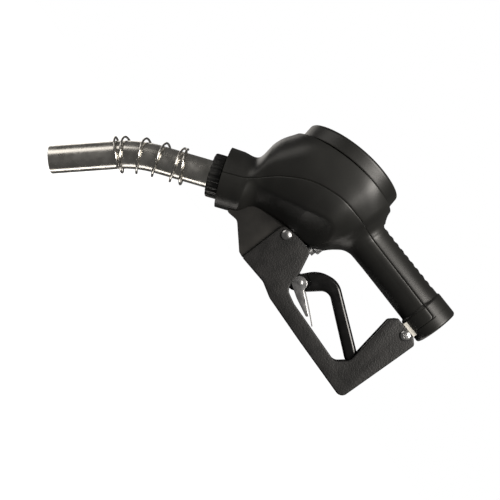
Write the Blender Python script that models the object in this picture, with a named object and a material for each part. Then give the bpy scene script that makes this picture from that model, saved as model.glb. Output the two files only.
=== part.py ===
"""Fuel nozzle. The row frame's origin is the centre of the hose inlet's end face. +X runs out of
the inlet, along the handle, towards the hose; +Z is up, from the handle to the top cap's side.
The nozzle is symmetric about the plane Y = 0.

Lengths in this file are millimetres, and new_object() turns them into Blender's metres.
"""

import math

import bmesh
import bpy
import numpy as np
from mathutils import Vector

MM = 0.001
GAP = 0.3  # left between pieces that touch

# Handle and hose inlet, both on the X axis.
HANDLE_TOP, HANDLE_BOTTOM, HANDLE_HALF_WIDTH = 18.5, -17.0, 17.5
RING_RADIUS, RING_START = 19.3, -22.5
INLET_RADIUS, INLET_DEPTH, HANDLE_BORE_RADIUS = 12.4, 22.0, 10.0
COVER_THICKNESS = 3.2
TONGUE_END = -10.1  # where the lower cover stops, inside the ring
RIB_COUNT, RIB_FIRST_X, RIB_LAST_X = 10, -91.0, -31.0

# Top cap: its base is tilted about Y and arched along its length.
CAP_CENTRE, CAP_TILT = (-147.8, 21.0), math.radians(11.4)
CAP_HALF_LENGTH, CAP_HALF_WIDTH = 46.6, 41.5
CAP_ARCH, CAP_SIDE, CAP_CROWN = 5.5, 12.4, 2.2

# Spout: a straight stretch on the nose's axis, one bend, and a straight stretch to the tip.
NOSE_CENTRE, NOSE_ANGLE = (-207.3, -61.8), math.radians(35.5)
SPOUT_RADIUS, SPOUT_WALL, SPOUT_BEND, BEND_RADIUS = 11.9, 1.2, math.radians(20.3), 100.0
SPOUT_FIRST, SPOUT_LAST, SPOUT_INSERT = 57.1, 56.7, 14.0
NUT_RADIUS, NUT_BORE, NUT_LENGTH, NUT_RIBS = 18.8, 12.8, 11.0, 20
COIL_RADIUS, COIL_WIRE, COIL_START, COIL_PITCH, COIL_TURNS, COIL_LEAN = 15.0, 1.0, 33.9, 15.9, 3.4, 1.4

# Main valve, on a vertical axis, and the shut-off plunger, square to the cap.
VALVE_X, CHAMBER_RADIUS, SEAT_Z, STEM_RADIUS = -115.0, 11.0, -14.0, 2.4
PLUNGER_RADIUS, PLATE_SCREW = 2.5, 23.0
PIVOT = (-128.5, -75.0)

# Lever guard: a channel that opens towards the hand.
GUARD_HALF_WIDTH, WEB_HALF_WIDTH, LEVER_HALF_WIDTH = 11.0, 7.8, 6.5
GUARD_SCREW, REAR_SCREW = (-136.3, -49.6), (-12.0, -24.1)
CLIP_PIVOT, CLIP_HALF_WIDTH, CLIP_WALL = (-98.8, -65.2), 7.7, 1.0
SPACER_HALF_WIDTH = 9.4


def clear_scene():
    for obj in list(bpy.data.objects):
        bpy.data.objects.remove(obj, do_unlink=True)


def material(name, colour, roughness, metallic=0.0):
    """A Principled material, made once for each name. The colour is linear."""
    made = bpy.data.materials.get(name)
    if made is None:
        made = bpy.data.materials.new(name)
        made.use_nodes = True
        shader = made.node_tree.nodes["Principled BSDF"]
        shader.inputs["Base Color"].default_value = (*colour, 1.0)
        shader.inputs["Roughness"].default_value = roughness
        shader.inputs["Metallic"].default_value = metallic
    return made


def black_cover():
    return material("black_vinyl", (0.014, 0.014, 0.013), 0.45)


def black_cast():
    return material("black_painted_casting", (0.012, 0.012, 0.011), 0.55)


def black_guard():
    return material("black_textured_nylon", (0.010, 0.010, 0.010), 0.6)


def bare_aluminium():
    return material("cast_aluminium", (0.52, 0.52, 0.51), 0.35, 1.0)


def bright_steel():
    return material("bright_steel", (0.70, 0.69, 0.67), 0.18, 1.0)


def brass():
    return material("brass", (0.60, 0.42, 0.16), 0.3, 1.0)


def black_rubber():
    return material("black_rubber", (0.01, 0.01, 0.01), 0.8)


def white_nylon():
    return material("white_nylon", (0.55, 0.55, 0.52), 0.5)


def new_object(name, bm, finish=None, pivot=None):
    """The bmesh as an object, in metres. With a pivot it is a child of that empty."""
    bmesh.ops.recalc_face_normals(bm, faces=bm.faces)
    bmesh.ops.scale(bm, vec=(MM, MM, MM), verts=bm.verts)
    mesh = bpy.data.meshes.new(name)
    bm.to_mesh(mesh)
    bm.free()
    mesh.shade_smooth()
    mesh.set_sharp_from_angle(angle=math.radians(35))
    obj = bpy.data.objects.new(name, mesh)
    bpy.context.scene.collection.objects.link(obj)
    if finish:
        mesh.materials.append(finish)
    if pivot:
        obj.parent = pivot
        obj.location = -Vector(pivot["at"])
    return obj


def new_pivot(name, x, z):
    """An empty on a joint's axis, in the plane of symmetry."""
    empty = bpy.data.objects.new(name, None)
    bpy.context.scene.collection.objects.link(empty)
    empty.location = (x * MM, 0.0, z * MM)
    empty["at"] = tuple(empty.location)
    return empty


def boolean(target, operand, operation="DIFFERENCE"):
    """Adds a Boolean of the operand, which becomes a hidden helper. The casting and the covers
    take the MANIFOLD solver, because EXACT leaves open edges on their many cuts."""
    modifier = target.modifiers.new(operand.name, "BOOLEAN")
    modifier.operation = operation
    modifier.object = operand
    modifier.solver = "MANIFOLD"
    operand.hide_render = True
    operand.display_type = "WIRE"


def bevel(obj, width, segments=2):
    modifier = obj.modifiers.new("rounded_edges", "BEVEL")
    modifier.width = width * MM
    modifier.segments = segments
    modifier.limit_method = "ANGLE"
    modifier.angle_limit = math.radians(40)


def ring_mesh(rings, close_start=True, close_end=True, loop=False):
    """A bmesh through rings of equal numbers of points, with the end rings filled."""
    bm = bmesh.new()
    rows = [[bm.verts.new(point) for point in ring] for ring in rings]
    pairs = list(zip(rows, rows[1:])) + ([(rows[-1], rows[0])] if loop else [])
    for first, second in pairs:
        for i in range(len(first)):
            j = (i + 1) % len(first)
            bm.faces.new((first[i], first[j], second[j], second[i]))
    if close_start and not loop:
        bm.faces.new(rows[0])
    if close_end and not loop:
        bm.faces.new(rows[-1])
    return bm


def prism(outline, half_width, centre_y=0.0):
    """An outline of (x, z) points, extruded along Y."""
    low = [(x, centre_y - half_width, z) for x, z in outline]
    high = [(x, centre_y + half_width, z) for x, z in outline]
    return ring_mesh([low, high])


def rounded(corners, step=math.radians(22.5)):
    """An outline through (x, z, radius) corners, each rounded by an arc of its radius."""
    points = []
    flat = np.array(corners, float)
    for i, (x, z, radius) in enumerate(flat):
        corner = flat[i, :2]
        if radius == 0:
            points.append((x, z))
            continue
        before = flat[i - 1, :2] - corner
        after = flat[(i + 1) % len(flat), :2] - corner
        before, after = before / np.linalg.norm(before), after / np.linalg.norm(after)
        half = math.acos(np.clip(before @ after, -1, 1)) / 2
        middle = (before + after) / np.linalg.norm(before + after)
        centre = corner + middle * radius / math.sin(half)
        start = corner + before * radius / math.tan(half) - centre
        turn = math.pi - 2 * half
        side = 1 if before[0] * after[1] - before[1] * after[0] < 0 else -1
        count = max(1, math.ceil(turn / step))
        for k in range(count + 1):
            angle = side * turn * k / count
            c, s = math.cos(angle), math.sin(angle)
            points.append(tuple(centre + (start[0] * c - start[1] * s, start[0] * s + start[1] * c)))
    return points


def cross_bore(radius, centre, sides=16):
    """A cutter along Y, through everything at this (x, z)."""
    return cylinder(radius, (centre[0], -20, centre[1]), (0, 1, 0), 40, sides)


def frame_of(direction):
    """A unit direction, in the XZ plane or along Y, and two unit vectors square to it."""
    along = np.array(direction, float) / np.linalg.norm(direction)
    upright = np.array((0.0, 0.0, 1.0) if abs(along[1]) > 0.9 else (0.0, 1.0, 0.0))
    return along, np.cross(upright, along), upright


def turned(profile, base, direction, sides=16, loop=False, lobes=None):
    """A profile of (radius, distance) turned about a line. A loop profile leaves a bore.
    lobes is a function of the angle's index that scales the radius."""
    along, across, upright = frame_of(direction)
    base = np.array(base, float)
    rings = []
    for radius, distance in profile:
        ring = []
        for k in range(sides):
            angle = 2 * math.pi * k / sides
            reach = radius * (lobes(k) if lobes else 1.0)
            outward = across * math.cos(angle) + upright * math.sin(angle)
            ring.append(base + along * distance + reach * outward)
        rings.append(ring)
    return ring_mesh(rings, loop=loop)


def cylinder(radius, base, direction, length, sides=16):
    return turned([(radius, 0.0), (radius, length)], base, direction, sides)


def washer(outer, inner, base, direction, length, sides=16):
    profile = [(outer, 0.0), (outer, length), (inner, length), (inner, 0.0)]
    return turned(profile, base, direction, sides, loop=True)


def swept(path, radius, sides=8):
    """A round rod along a path of points, with flat ends."""
    path = np.array(path, float)
    tangent = np.gradient(path, axis=0)
    tangent /= np.linalg.norm(tangent, axis=1)[:, None]
    across = np.cross(tangent[0], (0.3, 1.0, 0.2))
    rings = []
    for point, along in zip(path, tangent):
        across = across - along * (across @ along)
        across /= np.linalg.norm(across)
        other = np.cross(along, across)
        angles = [2 * math.pi * k / sides for k in range(sides)]
        rings.append([point + radius * (across * math.cos(a) + other * math.sin(a)) for a in angles])
    return ring_mesh(rings)


def coil(radius, wire, base, direction, length, turns, sides=5, steps=9):
    """A compression spring with one closed turn at each end."""
    along, across, upright = frame_of(direction)
    closed = 2.1 * wire
    pitch = (length - 2 * wire - 2 * closed) / turns
    path = []
    for k in range(int((turns + 2) * steps) + 1):
        turn = k / steps
        rise = wire + closed * min(turn, 1.0) + pitch * min(max(turn - 1.0, 0.0), turns)
        rise += closed * max(turn - 1.0 - turns, 0.0)
        angle = 2 * math.pi * turn
        ring = across * math.cos(angle) + upright * math.sin(angle)
        path.append(np.array(base) + along * rise + radius * ring)
    return swept(path, wire, sides)


# Directions used by several pieces.
SPOUT_DIR = (-math.cos(NOSE_ANGLE), 0.0, -math.sin(NOSE_ANGLE))
CAP_UP = (-math.sin(CAP_TILT), 0.0, math.cos(CAP_TILT))
CAP_ALONG = (math.cos(CAP_TILT), 0.0, math.sin(CAP_TILT))
SIDEWAYS = np.array((0.0, 1.0, 0.0))


def on_cap(along, height, y=0.0):
    """A point by its place along the cap's base and its height above it."""
    x = CAP_CENTRE[0] + along * CAP_ALONG[0] + height * CAP_UP[0]
    z = CAP_CENTRE[1] + along * CAP_ALONG[2] + height * CAP_UP[2]
    return (x, y, z)


def on_nose(depth):
    """A point on the nose's axis, this deep behind the nose's face."""
    return (NOSE_CENTRE[0] - depth * SPOUT_DIR[0], 0.0, NOSE_CENTRE[1] - depth * SPOUT_DIR[2])


def cap_arch(along):
    return CAP_ARCH * (1 - (along / CAP_HALF_LENGTH) ** 2)


# The body's skin, from the nose to the hose end. Each station is a flat section between a top and
# a bottom point: top x, top z, bottom x, bottom z, half width, how far up the widest level lies,
# and the powers of the upper and lower halves' superellipses.
STATIONS = np.array([
    (-222.4, -39.6, -192.8, -82.2, 25.0, 0.50, 2.0, 2.0),
    (-213.5, -34.0, -184.3, -76.1, 25.2, 0.50, 2.0, 2.0),
    (-201.9, -26.8, -177.0, -70.5, 26.0, 0.50, 2.0, 2.0),
    (-203.0, -9.0, -170.5, -58.0, 29.0, 0.55, 2.0, 1.8),
    (-199.6, 5.0, -160.0, -51.5, 33.5, 0.60, 2.0, 1.7),
    (-188.0, 26.0, -146.0, -46.5, 39.0, 0.62, 2.3, 1.6),
    (-160.0, 44.0, -132.0, -43.5, 42.3, 0.62, 2.8, 1.6),
    (-128.0, 52.0, -120.0, -41.5, 42.0, 0.62, 2.6, 1.7),
    (-104.5, 41.0, -110.0, -37.0, 33.5, 0.60, 2.1, 1.8),
    (-97.0, 25.5, -103.5, -26.5, 25.5, 0.55, 2.0, 2.0),
    (-91.0, 19.4, -95.0, -18.6, 19.6, 0.50, 2.1, 2.1),
    (-80.0, HANDLE_TOP, -80.0, HANDLE_BOTTOM, HANDLE_HALF_WIDTH, 0.5, 2.1, 2.1),
    (-24.0, HANDLE_TOP, -24.0, HANDLE_BOTTOM, HANDLE_HALF_WIDTH, 0.5, 2.1, 2.1),
    (-0.5, HANDLE_TOP, -0.5, HANDLE_BOTTOM, HANDLE_HALF_WIDTH, 0.5, 2.1, 2.1),
])
SECTION_POINTS = 24


def smooth_rows(rows, parts):
    """Rows put through a Catmull-Rom curve, with this many parts to each stretch."""
    ends = np.vstack([2 * rows[0] - rows[1], rows, 2 * rows[-1] - rows[-2]])
    out = []
    for i in range(1, len(ends) - 2):
        before, start, end, after = ends[i - 1:i + 3]
        for t in np.linspace(0, 1, parts, endpoint=False):
            out.append(0.5 * (2 * start + (end - before) * t
                              + (2 * before - 5 * start + 4 * end - after) * t ** 2
                              + (3 * start - before - 3 * end + after) * t ** 3))
    return np.array(out + [rows[-1]])


def body_skin(inset=0.0, parts=2, first_shift=0.0, last_shift=0.0):
    """The skin moved in by the inset. The shifts lengthen it past its first and last sections."""
    rows = smooth_rows(STATIONS, parts)
    rings = []
    for k, (top_x, top_z, low_x, low_z, half, waist, top_power, low_power) in enumerate(rows):
        low, top = np.array((low_x, low_z)), np.array((top_x, top_z))
        height = np.linalg.norm(top - low)
        up = (top - low) / height
        centre = low + (top - low) * waist
        if k == 0:
            centre = centre + first_shift * np.array((SPOUT_DIR[0], SPOUT_DIR[2]))
        if k == len(rows) - 1:
            centre = centre + (last_shift, 0)
        ring = []
        for i in range(SECTION_POINTS):
            angle = 2 * math.pi * (i + 0.5) / SECTION_POINTS
            c, s = math.cos(angle), math.sin(angle)
            power = top_power if s > 0 else low_power
            reach = height * (1 - waist if s > 0 else waist) - inset
            y = (half - inset) * math.copysign(abs(c) ** (2 / power), c)
            rise = reach * math.copysign(abs(s) ** (2 / power), s)
            point = centre + up * rise
            ring.append((point[0], y, point[1]))
        rings.append(ring)
    return ring_mesh(rings)


def above_cap_base(name, clearance):
    """A helper solid that holds everything over the cap's arched base."""
    steps = np.linspace(-58.0, 53.0, 16)
    outline = [on_cap(u, cap_arch(u) - clearance) for u in steps]
    outline += [on_cap(60.0, 80.0), on_cap(-75.0, 80.0)]
    return new_object(name, prism([(p[0], p[2]) for p in outline], 70.0))


def under_seam(name, drop):
    """A helper solid under the line where the two covers meet, lowered by the drop."""
    seam = [(-235.0, -80.0, 0), (-206.3, -58.3, 30), (-191.3, -47.0, 40), (-176.3, -26.4, 50),
            (-157.0, -7.9, 60), (-130.7, 1.6, 60), (-107.2, 3.3, 40), (-90.0, 2.9, 60),
            (TONGUE_END, 2.0, 3), (TONGUE_END, -40.0, 0), (-80.0, -140.0, 0), (-235.0, -140.0, 0)]
    moved = [(x - (drop if x == TONGUE_END else 0.0), z - drop, r) for x, z, r in seam]
    return new_object(name, prism(rounded(moved), 70.0))


def hose_ring(name, inset=0.0):
    """The raised ring round the hose end of the handle."""
    outer = RING_RADIUS - inset
    middle = (0.0, 0.0, (HANDLE_TOP + HANDLE_BOTTOM) / 2 - 0.3)
    profile = [(outer - 2.0, RING_START), (outer, RING_START + 2.0), (outer, -2.5), (outer - 2.0, -0.5)]
    return new_object(name, turned(profile, middle, (1, 0, 0), 28))


def web_outline():
    """The flat lug that joins the nose to the guard, seen from the side."""
    return rounded([(-188.0, -60.0, 0), (-182.0, -76.0, 0), (-172.0, -74.0, 8), (-149.5, -89.2, 2),
                    (-145.2, -89.8, 0), (-145.2, -86.2, 0), (-139.0, -86.2, 0), (-136.0, -70.0, 4),
                    (-138.5, -57.0, 3), (-124.0, -53.0, 3), (-124.0, -30.0, 0), (-175.0, -30.0, 0)])


def valve_body():
    """The aluminium casting: skin moved in, web, and every passage bored through it."""
    body = new_object("valve_body", body_skin(COVER_THICKNESS + GAP, 1, last_shift=0.5), black_cast())
    boolean(body, above_cap_base("casting_top_cut", 0.6))
    boolean(body, new_object("web", prism(web_outline(), WEB_HALF_WIDTH)), "UNION")
    lug = rounded([(-18.5, -8.0, 0), (-18.5, -27.0, 3), (-7.0, -27.0, 3), (-7.0, -8.0, 0)])
    boolean(body, new_object("rear_lug", prism(lug, 4.0)), "UNION")
    bores = {
        "inlet_bore": cylinder(INLET_RADIUS, (-INLET_DEPTH, 0, 0), (1, 0, 0), INLET_DEPTH + 5),
        "handle_bore": cylinder(HANDLE_BORE_RADIUS, (VALVE_X, 0, 0), (1, 0, 0), -VALVE_X - 15),
        "valve_chamber": cylinder(CHAMBER_RADIUS, (VALVE_X, 0, -29), (0, 0, 1), 70),
        "stem_bore": cylinder(STEM_RADIUS + 0.4, (VALVE_X, 0, -60), (0, 0, 1), 40, 16),
        "gland_pocket": cylinder(7.3, (VALVE_X, 0, -60), (0, 0, 1), 26.3),
        "lower_passage": cylinder(7.0, (-150, 0, -21), (1, 0, 0), 38),
        "outlet_bore": cylinder(12.2, on_nose(-5), (-SPOUT_DIR[0], 0, -SPOUT_DIR[2]), 47),
        "seal_groove": cylinder(14.3, on_nose(-5), (-SPOUT_DIR[0], 0, -SPOUT_DIR[2]), 8, 28),
        "outlet_passage": cylinder(8.0, on_nose(30), (-SPOUT_DIR[0], 0, -SPOUT_DIR[2]), 40),
        "plunger_bore": cylinder(PLUNGER_RADIUS + 0.4, on_cap(0, -90), CAP_UP, 120, 16),
        "diaphragm_pocket": cylinder(28.0, on_cap(0, -8), CAP_UP, 40, 24),
        "plunger_head_bore": cylinder(6.2, on_cap(0, -14.5), CAP_UP, 20, 16),
        "plate_recess": cylinder(37.4, on_cap(0, -2.3), CAP_UP, 40, 24),
        "guard_screw_hole": cross_bore(2.5, GUARD_SCREW, 12),
        "rear_screw_hole": cross_bore(2.5, REAR_SCREW, 12),
    }
    for name, bm in bores.items():
        boolean(body, new_object(name, bm))
    # The web stays solid between the two guard screws except for the plunger's bore.
    screw_web = [(-143.0, -56.0), (-143.0, -43.0), (-137.6, -43.0), (-137.6, -56.0)]
    boolean(body, new_object("screw_web", prism(screw_web, 2.0)), "UNION")
    return body


def covers():
    """The upper and lower vinyl covers, each a shell over half of the casting."""
    for name, operation in (("upper_cover", "DIFFERENCE"), ("lower_cover", "INTERSECT")):
        cover = new_object(name, body_skin(), black_cover())
        boolean(cover, hose_ring(name + "_ring"), "UNION")
        boolean(cover, above_cap_base(name + "_top_cut", 0.3))
        boolean(cover, new_object(name + "_cavity", body_skin(
            COVER_THICKNESS, 1, first_shift=4.0, last_shift=4.0)))
        if name == "upper_cover":
            boolean(cover, under_seam(name + "_seam", 0.0), operation)
            boolean(cover, grip_grooves())
        else:
            boolean(cover, under_seam(name + "_seam", GAP), operation)
            slot = [(-190.5, -56.0), (-176.0, -42.0), (-150.0, -29.0), (-105.0, -29.0),
                    (-105.0, -70.0), (-150.0, -100.0), (-181.5, -80.0)]
            boolean(cover, new_object("web_slot", prism(slot, WEB_HALF_WIDTH + GAP)))
        rear = [(-20.3, -12.0), (-20.3, -30.0), (-6.6, -30.0), (-6.6, -12.0)]
        boolean(cover, new_object(name + "_lug_slot", prism(rear, SPACER_HALF_WIDTH + GAP)))


def grip_grooves():
    """The scallops across the back of the grip, as one helper of separate rods."""
    bm = bmesh.new()
    pitch = (RIB_LAST_X - RIB_FIRST_X) / (RIB_COUNT - 1)
    for k in range(RIB_COUNT):
        rod = cylinder(2.6, (RIB_FIRST_X + pitch * k, -16, HANDLE_TOP + 1.4), (0, 1, 0), 32, 12)
        mesh = bpy.data.meshes.new("rod")
        rod.to_mesh(mesh)
        rod.free()
        bm.from_mesh(mesh)
        bpy.data.meshes.remove(mesh)
    return new_object("grip_grooves", bm)


def cap_ring(scale, height):
    """Points round the cap at one scale of its outline; height is a function of the place along."""
    ring = []
    for k in range(32):
        angle = 2 * math.pi * k / 32
        c, s = math.cos(angle), math.sin(angle)
        along = CAP_HALF_LENGTH * scale * math.copysign(abs(c) ** 0.92, c)
        side = CAP_HALF_WIDTH * scale * math.copysign(abs(s) ** 0.92, s)
        ring.append(on_cap(along, height(along), side))
    return ring


def top_cap():
    """The crowned cover over the diaphragm, hollow underneath."""
    def skin(level, crown):
        return lambda along: cap_arch(along) + level + crown

    rings = [cap_ring(0.02, skin(CAP_SIDE - 3, 0)), cap_ring(0.80, skin(CAP_SIDE - 3, 0)),
             cap_ring(0.80, skin(0, 0)), cap_ring(1.0, skin(0, 0)),
             cap_ring(1.0, skin(CAP_SIDE - 2.2, 0)), cap_ring(0.985, skin(CAP_SIDE - 0.8, 0)),
             cap_ring(0.95, skin(CAP_SIDE, 0.3)), cap_ring(0.7, skin(CAP_SIDE, CAP_CROWN * 0.6)),
             cap_ring(0.35, skin(CAP_SIDE, CAP_CROWN * 0.92)), cap_ring(0.02, skin(CAP_SIDE, CAP_CROWN))]
    new_object("top_cap", ring_mesh(rings), black_cover())


def spout_at(distance):
    """The spout's centreline this far from the nose's face: a point, the way along, and the way across."""
    bend = np.clip((distance - SPOUT_FIRST) / BEND_RADIUS, 0, SPOUT_BEND)
    along = np.array((-math.cos(NOSE_ANGLE + bend), 0, -math.sin(NOSE_ANGLE + bend)))
    across = np.array((along[2], 0, -along[0]))
    if distance < SPOUT_FIRST:
        return np.array(on_nose(-distance)), along, across
    past_bend = max(distance - SPOUT_FIRST - BEND_RADIUS * SPOUT_BEND, 0)
    bend_start_across = np.array((SPOUT_DIR[2], 0, -SPOUT_DIR[0]))
    turn_centre = np.array(on_nose(-SPOUT_FIRST)) - BEND_RADIUS * bend_start_across
    return turn_centre + BEND_RADIUS * across + past_bend * along, along, across


def spout():
    """The bent outlet tube with its nut, adapter, ring seal, anchor coil and air tube."""
    total = SPOUT_FIRST + BEND_RADIUS * SPOUT_BEND + SPOUT_LAST
    stations = [-SPOUT_INSERT, 20.0, *np.linspace(SPOUT_FIRST, total - SPOUT_LAST, 5), total - 12, total]
    frames = [spout_at(distance) for distance in stations]

    def tube_ring(frame, radius, shift=0.0):
        point, along, across = frame
        angles = [2 * math.pi * k / 24 for k in range(24)]
        centre = point + along * shift
        return [centre + radius * (across * math.cos(a) + SIDEWAYS * math.sin(a)) for a in angles]

    outer = [tube_ring(f, SPOUT_RADIUS) for f in frames[:-1]]
    outer += [tube_ring(frames[-1], SPOUT_RADIUS, -1.0), tube_ring(frames[-1], SPOUT_RADIUS - 0.5)]
    inner = [tube_ring(f, SPOUT_RADIUS - SPOUT_WALL) for f in reversed(frames)]
    tube = new_object("spout_tube", ring_mesh(outer + inner, loop=True), bright_steel())
    hole_at, _, across = spout_at(total - 14.5)
    boolean(tube, new_object("breather_hole", cylinder(2.0, hole_at - 8 * across, -across, 8, 12)))

    sleeve = washer(SPOUT_RADIUS, 10.0, on_nose(SPOUT_INSERT + GAP), SPOUT_DIR, -10.0)
    new_object("spout_adapter", sleeve, bare_aluminium())
    seal = washer(14.0, SPOUT_RADIUS + GAP, on_nose(2.6), SPOUT_DIR, 2.0, 28)
    new_object("spout_o_ring", seal, black_rubber())
    nut = turned([(NUT_RADIUS - 1.5, GAP), (NUT_RADIUS, GAP + 1.5), (NUT_RADIUS, NUT_LENGTH - 1.5),
                  (NUT_RADIUS - 1.5, NUT_LENGTH), (NUT_BORE, NUT_LENGTH), (NUT_BORE, GAP)],
                 on_nose(0), SPOUT_DIR, 2 * NUT_RIBS, loop=True, lobes=lambda k: 1.0 if k % 2 else 0.965)
    new_object("spout_nut", nut, black_guard())
    coil_path = []
    steps = 14
    closed = 2.1 * COIL_WIRE
    count = int((COIL_TURNS + 2) * steps)
    for k in range(count + 1):
        turn = k / steps
        distance = COIL_START + closed * min(turn, 1) + COIL_PITCH * min(max(turn - 1, 0), COIL_TURNS)
        distance += closed * max(turn - 1 - COIL_TURNS, 0)
        angle = -2 * math.pi * turn
        point, _, across = spout_at(distance + COIL_LEAN * math.cos(angle))
        coil_path.append(point + COIL_RADIUS * (across * math.cos(angle) + SIDEWAYS * math.sin(angle)))
    new_object("spout_spring", swept(coil_path, COIL_WIRE, 5), bright_steel())
    air_frames = [spout_at(distance) for distance in np.linspace(1 - SPOUT_INSERT, total - 11, 14)]
    air_path = [point - 7.0 * across for point, _, across in air_frames]
    new_object("air_tube", swept(air_path, 2.2, 8), bare_aluminium())


def check_valve():
    """The check valve behind the spout: its seat, and the poppet that fuel pushes open."""
    upstream = (-SPOUT_DIR[0], 0, -SPOUT_DIR[2])
    new_object("check_seat", washer(11.9, 6.5, on_nose(37.4), upstream, 4.0), brass())
    pivot = new_pivot("check_poppet_axis", on_nose(34)[0], on_nose(34)[2])
    poppet = turned([(2.0, 0.0), (2.0, 5.0), (9.0, 7.0), (9.0, 8.8), (5.9, 9.2), (5.6, 12.5)],
                    on_nose(28.0), upstream)
    new_object("check_poppet", poppet, brass(), pivot)
    spring = coil(5.4, 0.6, on_nose(26.8), upstream, 6.2, 2.0)
    new_object("check_spring", spring, bright_steel(), pivot)


def main_valve():
    """The valve that the lever's stem lifts off its seat, and the spring that shuts it."""
    up = (0, 0, 1)
    seat = washer(CHAMBER_RADIUS - GAP, 6.0, (VALVE_X, 0, SEAT_Z - 3), up, 3.0)
    new_object("main_valve_seat", seat, brass())
    plug = cylinder(CHAMBER_RADIUS - GAP, (VALVE_X, 0, SEAT_Z + 25), up, 6)
    new_object("main_valve_cap", plug, brass())
    new_object("main_spring", coil(7.2, 0.7, (VALVE_X, 0, SEAT_Z + 4.6), up, 20.1, 5.0), bright_steel())
    bore = STEM_RADIUS + GAP
    gland = turned([(bore, 0.0), (4.6, 0.0), (4.6, 3.6), (7.0, 4.6), (7.0, 9.6), (bore, 9.6)],
                   (VALVE_X, 0, -43.6), up, loop=True)
    new_object("packing_nut", gland, bare_aluminium())

    pivot = new_pivot("main_valve_axis", VALVE_X, SEAT_Z)
    stem = turned([(1.0, 0.0), (1.9, 0.5), (STEM_RADIUS, 1.6), (STEM_RADIUS, 47.0), (1.6, 47.0), (1.6, 54.0)],
                  (VALVE_X, 0, -61.8), up, 16)
    new_object("main_stem", stem, bright_steel(), pivot)
    seal = washer(8.4, 1.9, (VALVE_X, 0, SEAT_Z + GAP), up, 1.6)
    new_object("main_poppet_seal", seal, black_rubber(), pivot)
    new_object("main_poppet", washer(8.8, 1.9, (VALVE_X, 0, SEAT_Z + 2.2), up, 2.1), brass(), pivot)


def shut_off():
    """The diaphragm under the cap, its cover plate and screws, and the plunger that it releases."""
    new_object("diaphragm", washer(27.6, 6.2, on_cap(0, -7.6), CAP_UP, 1.4, 24), black_rubber())
    plate = turned([(0.5, 6.6), (10.0, 6.6), (12.0, 2.4), (37.0, 2.4), (37.0, 0.0), (11.0, 0.0),
                    (9.0, 5.2), (0.5, 5.2)], on_cap(0, -2.0), CAP_UP, 24)
    cover = new_object("diaphragm_plate", plate, bare_aluminium())
    for k, (side_u, side_y) in enumerate(((1, 1), (-1, 1), (-1, -1), (1, -1)), start=1):
        along, side = PLATE_SCREW * side_u, PLATE_SCREW * side_y
        hole = new_object(f"plate_hole_{k}", cylinder(2.4, on_cap(along, -12, side), CAP_UP, 30, 8))
        boolean(cover, hole)
        boolean(bpy.data.objects["valve_body"], hole)
        screw = turned([(2.0, -9.5), (2.0, 1.7), (3.2, 1.7), (3.2, 3.4), (2.5, 4.0)],
                       on_cap(along, -1.0, side), CAP_UP, 10)
        new_object(f"plate_screw_{k}", screw, bright_steel())
    new_object("diaphragm_spring", coil(7.4, 0.6, on_cap(0, -5.9), CAP_UP, 8.8, 2.0), bright_steel())

    pivot = new_pivot("shut_off_axis", *PIVOT)
    length = (CAP_CENTRE[1] - PIVOT[1]) / CAP_UP[2]
    profile = [(PLUNGER_RADIUS, 0.0), (PLUNGER_RADIUS, length - 8.6), (5.6, length - 8.3),
               (5.6, length - 2.6), (3.0, length - 1.6)]
    plunger = turned(profile, (PIVOT[0], 0, PIVOT[1]), CAP_UP, 16)
    shaft = new_object("shut_off_plunger", plunger, bright_steel(), pivot)
    eye = cylinder(4.2, (PIVOT[0], -2.4, PIVOT[1]), (0, 1, 0), 4.8, 16)
    eye = new_object("plunger_eye", eye, None, pivot)
    boolean(shaft, eye, "UNION")
    boolean(shaft, new_object("plunger_hole", cross_bore(2.05, PIVOT), None, pivot))


def guard_outline():
    """The guard's outside, seen from the side: front plate, bottom bar and rear strut."""
    return rounded([(-144.5, -90.0, 2), (-144.5, -46.2, 6), (-133.0, -42.6, 3), (-113.5, -42.2, 5),
                    (-105.0, -60.3, 6), (-101.0, -76.5, 8), (-88.0, -79.6, 12), (-31.0, -82.6, 7),
                    (-23.4, -72.0, 6), (-30.6, -26.0, 3), (-26.6, -20.0, 2), (-6.5, -20.0, 2),
                    (-1.0, -23.5, 3), (-1.6, -40.0, 0), (-4.2, -97.4, 6), (-60.0, -95.3, 0),
                    (-104.0, -92.8, 8), (-118.0, -88.8, 8)])


def guard_channel():
    """What the guard's channel leaves free: open upwards, to the hand and to the web."""
    return rounded([(-160.0, -86.6, 0), (-117.0, -86.0, 8), (-104.0, -89.9, 8), (-60.0, -92.4, 0),
                    (-7.2, -94.4, 3), (-4.2, -40.0, 0), (-4.0, -10.0, 0), (-160.0, -10.0, 0)])


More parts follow.
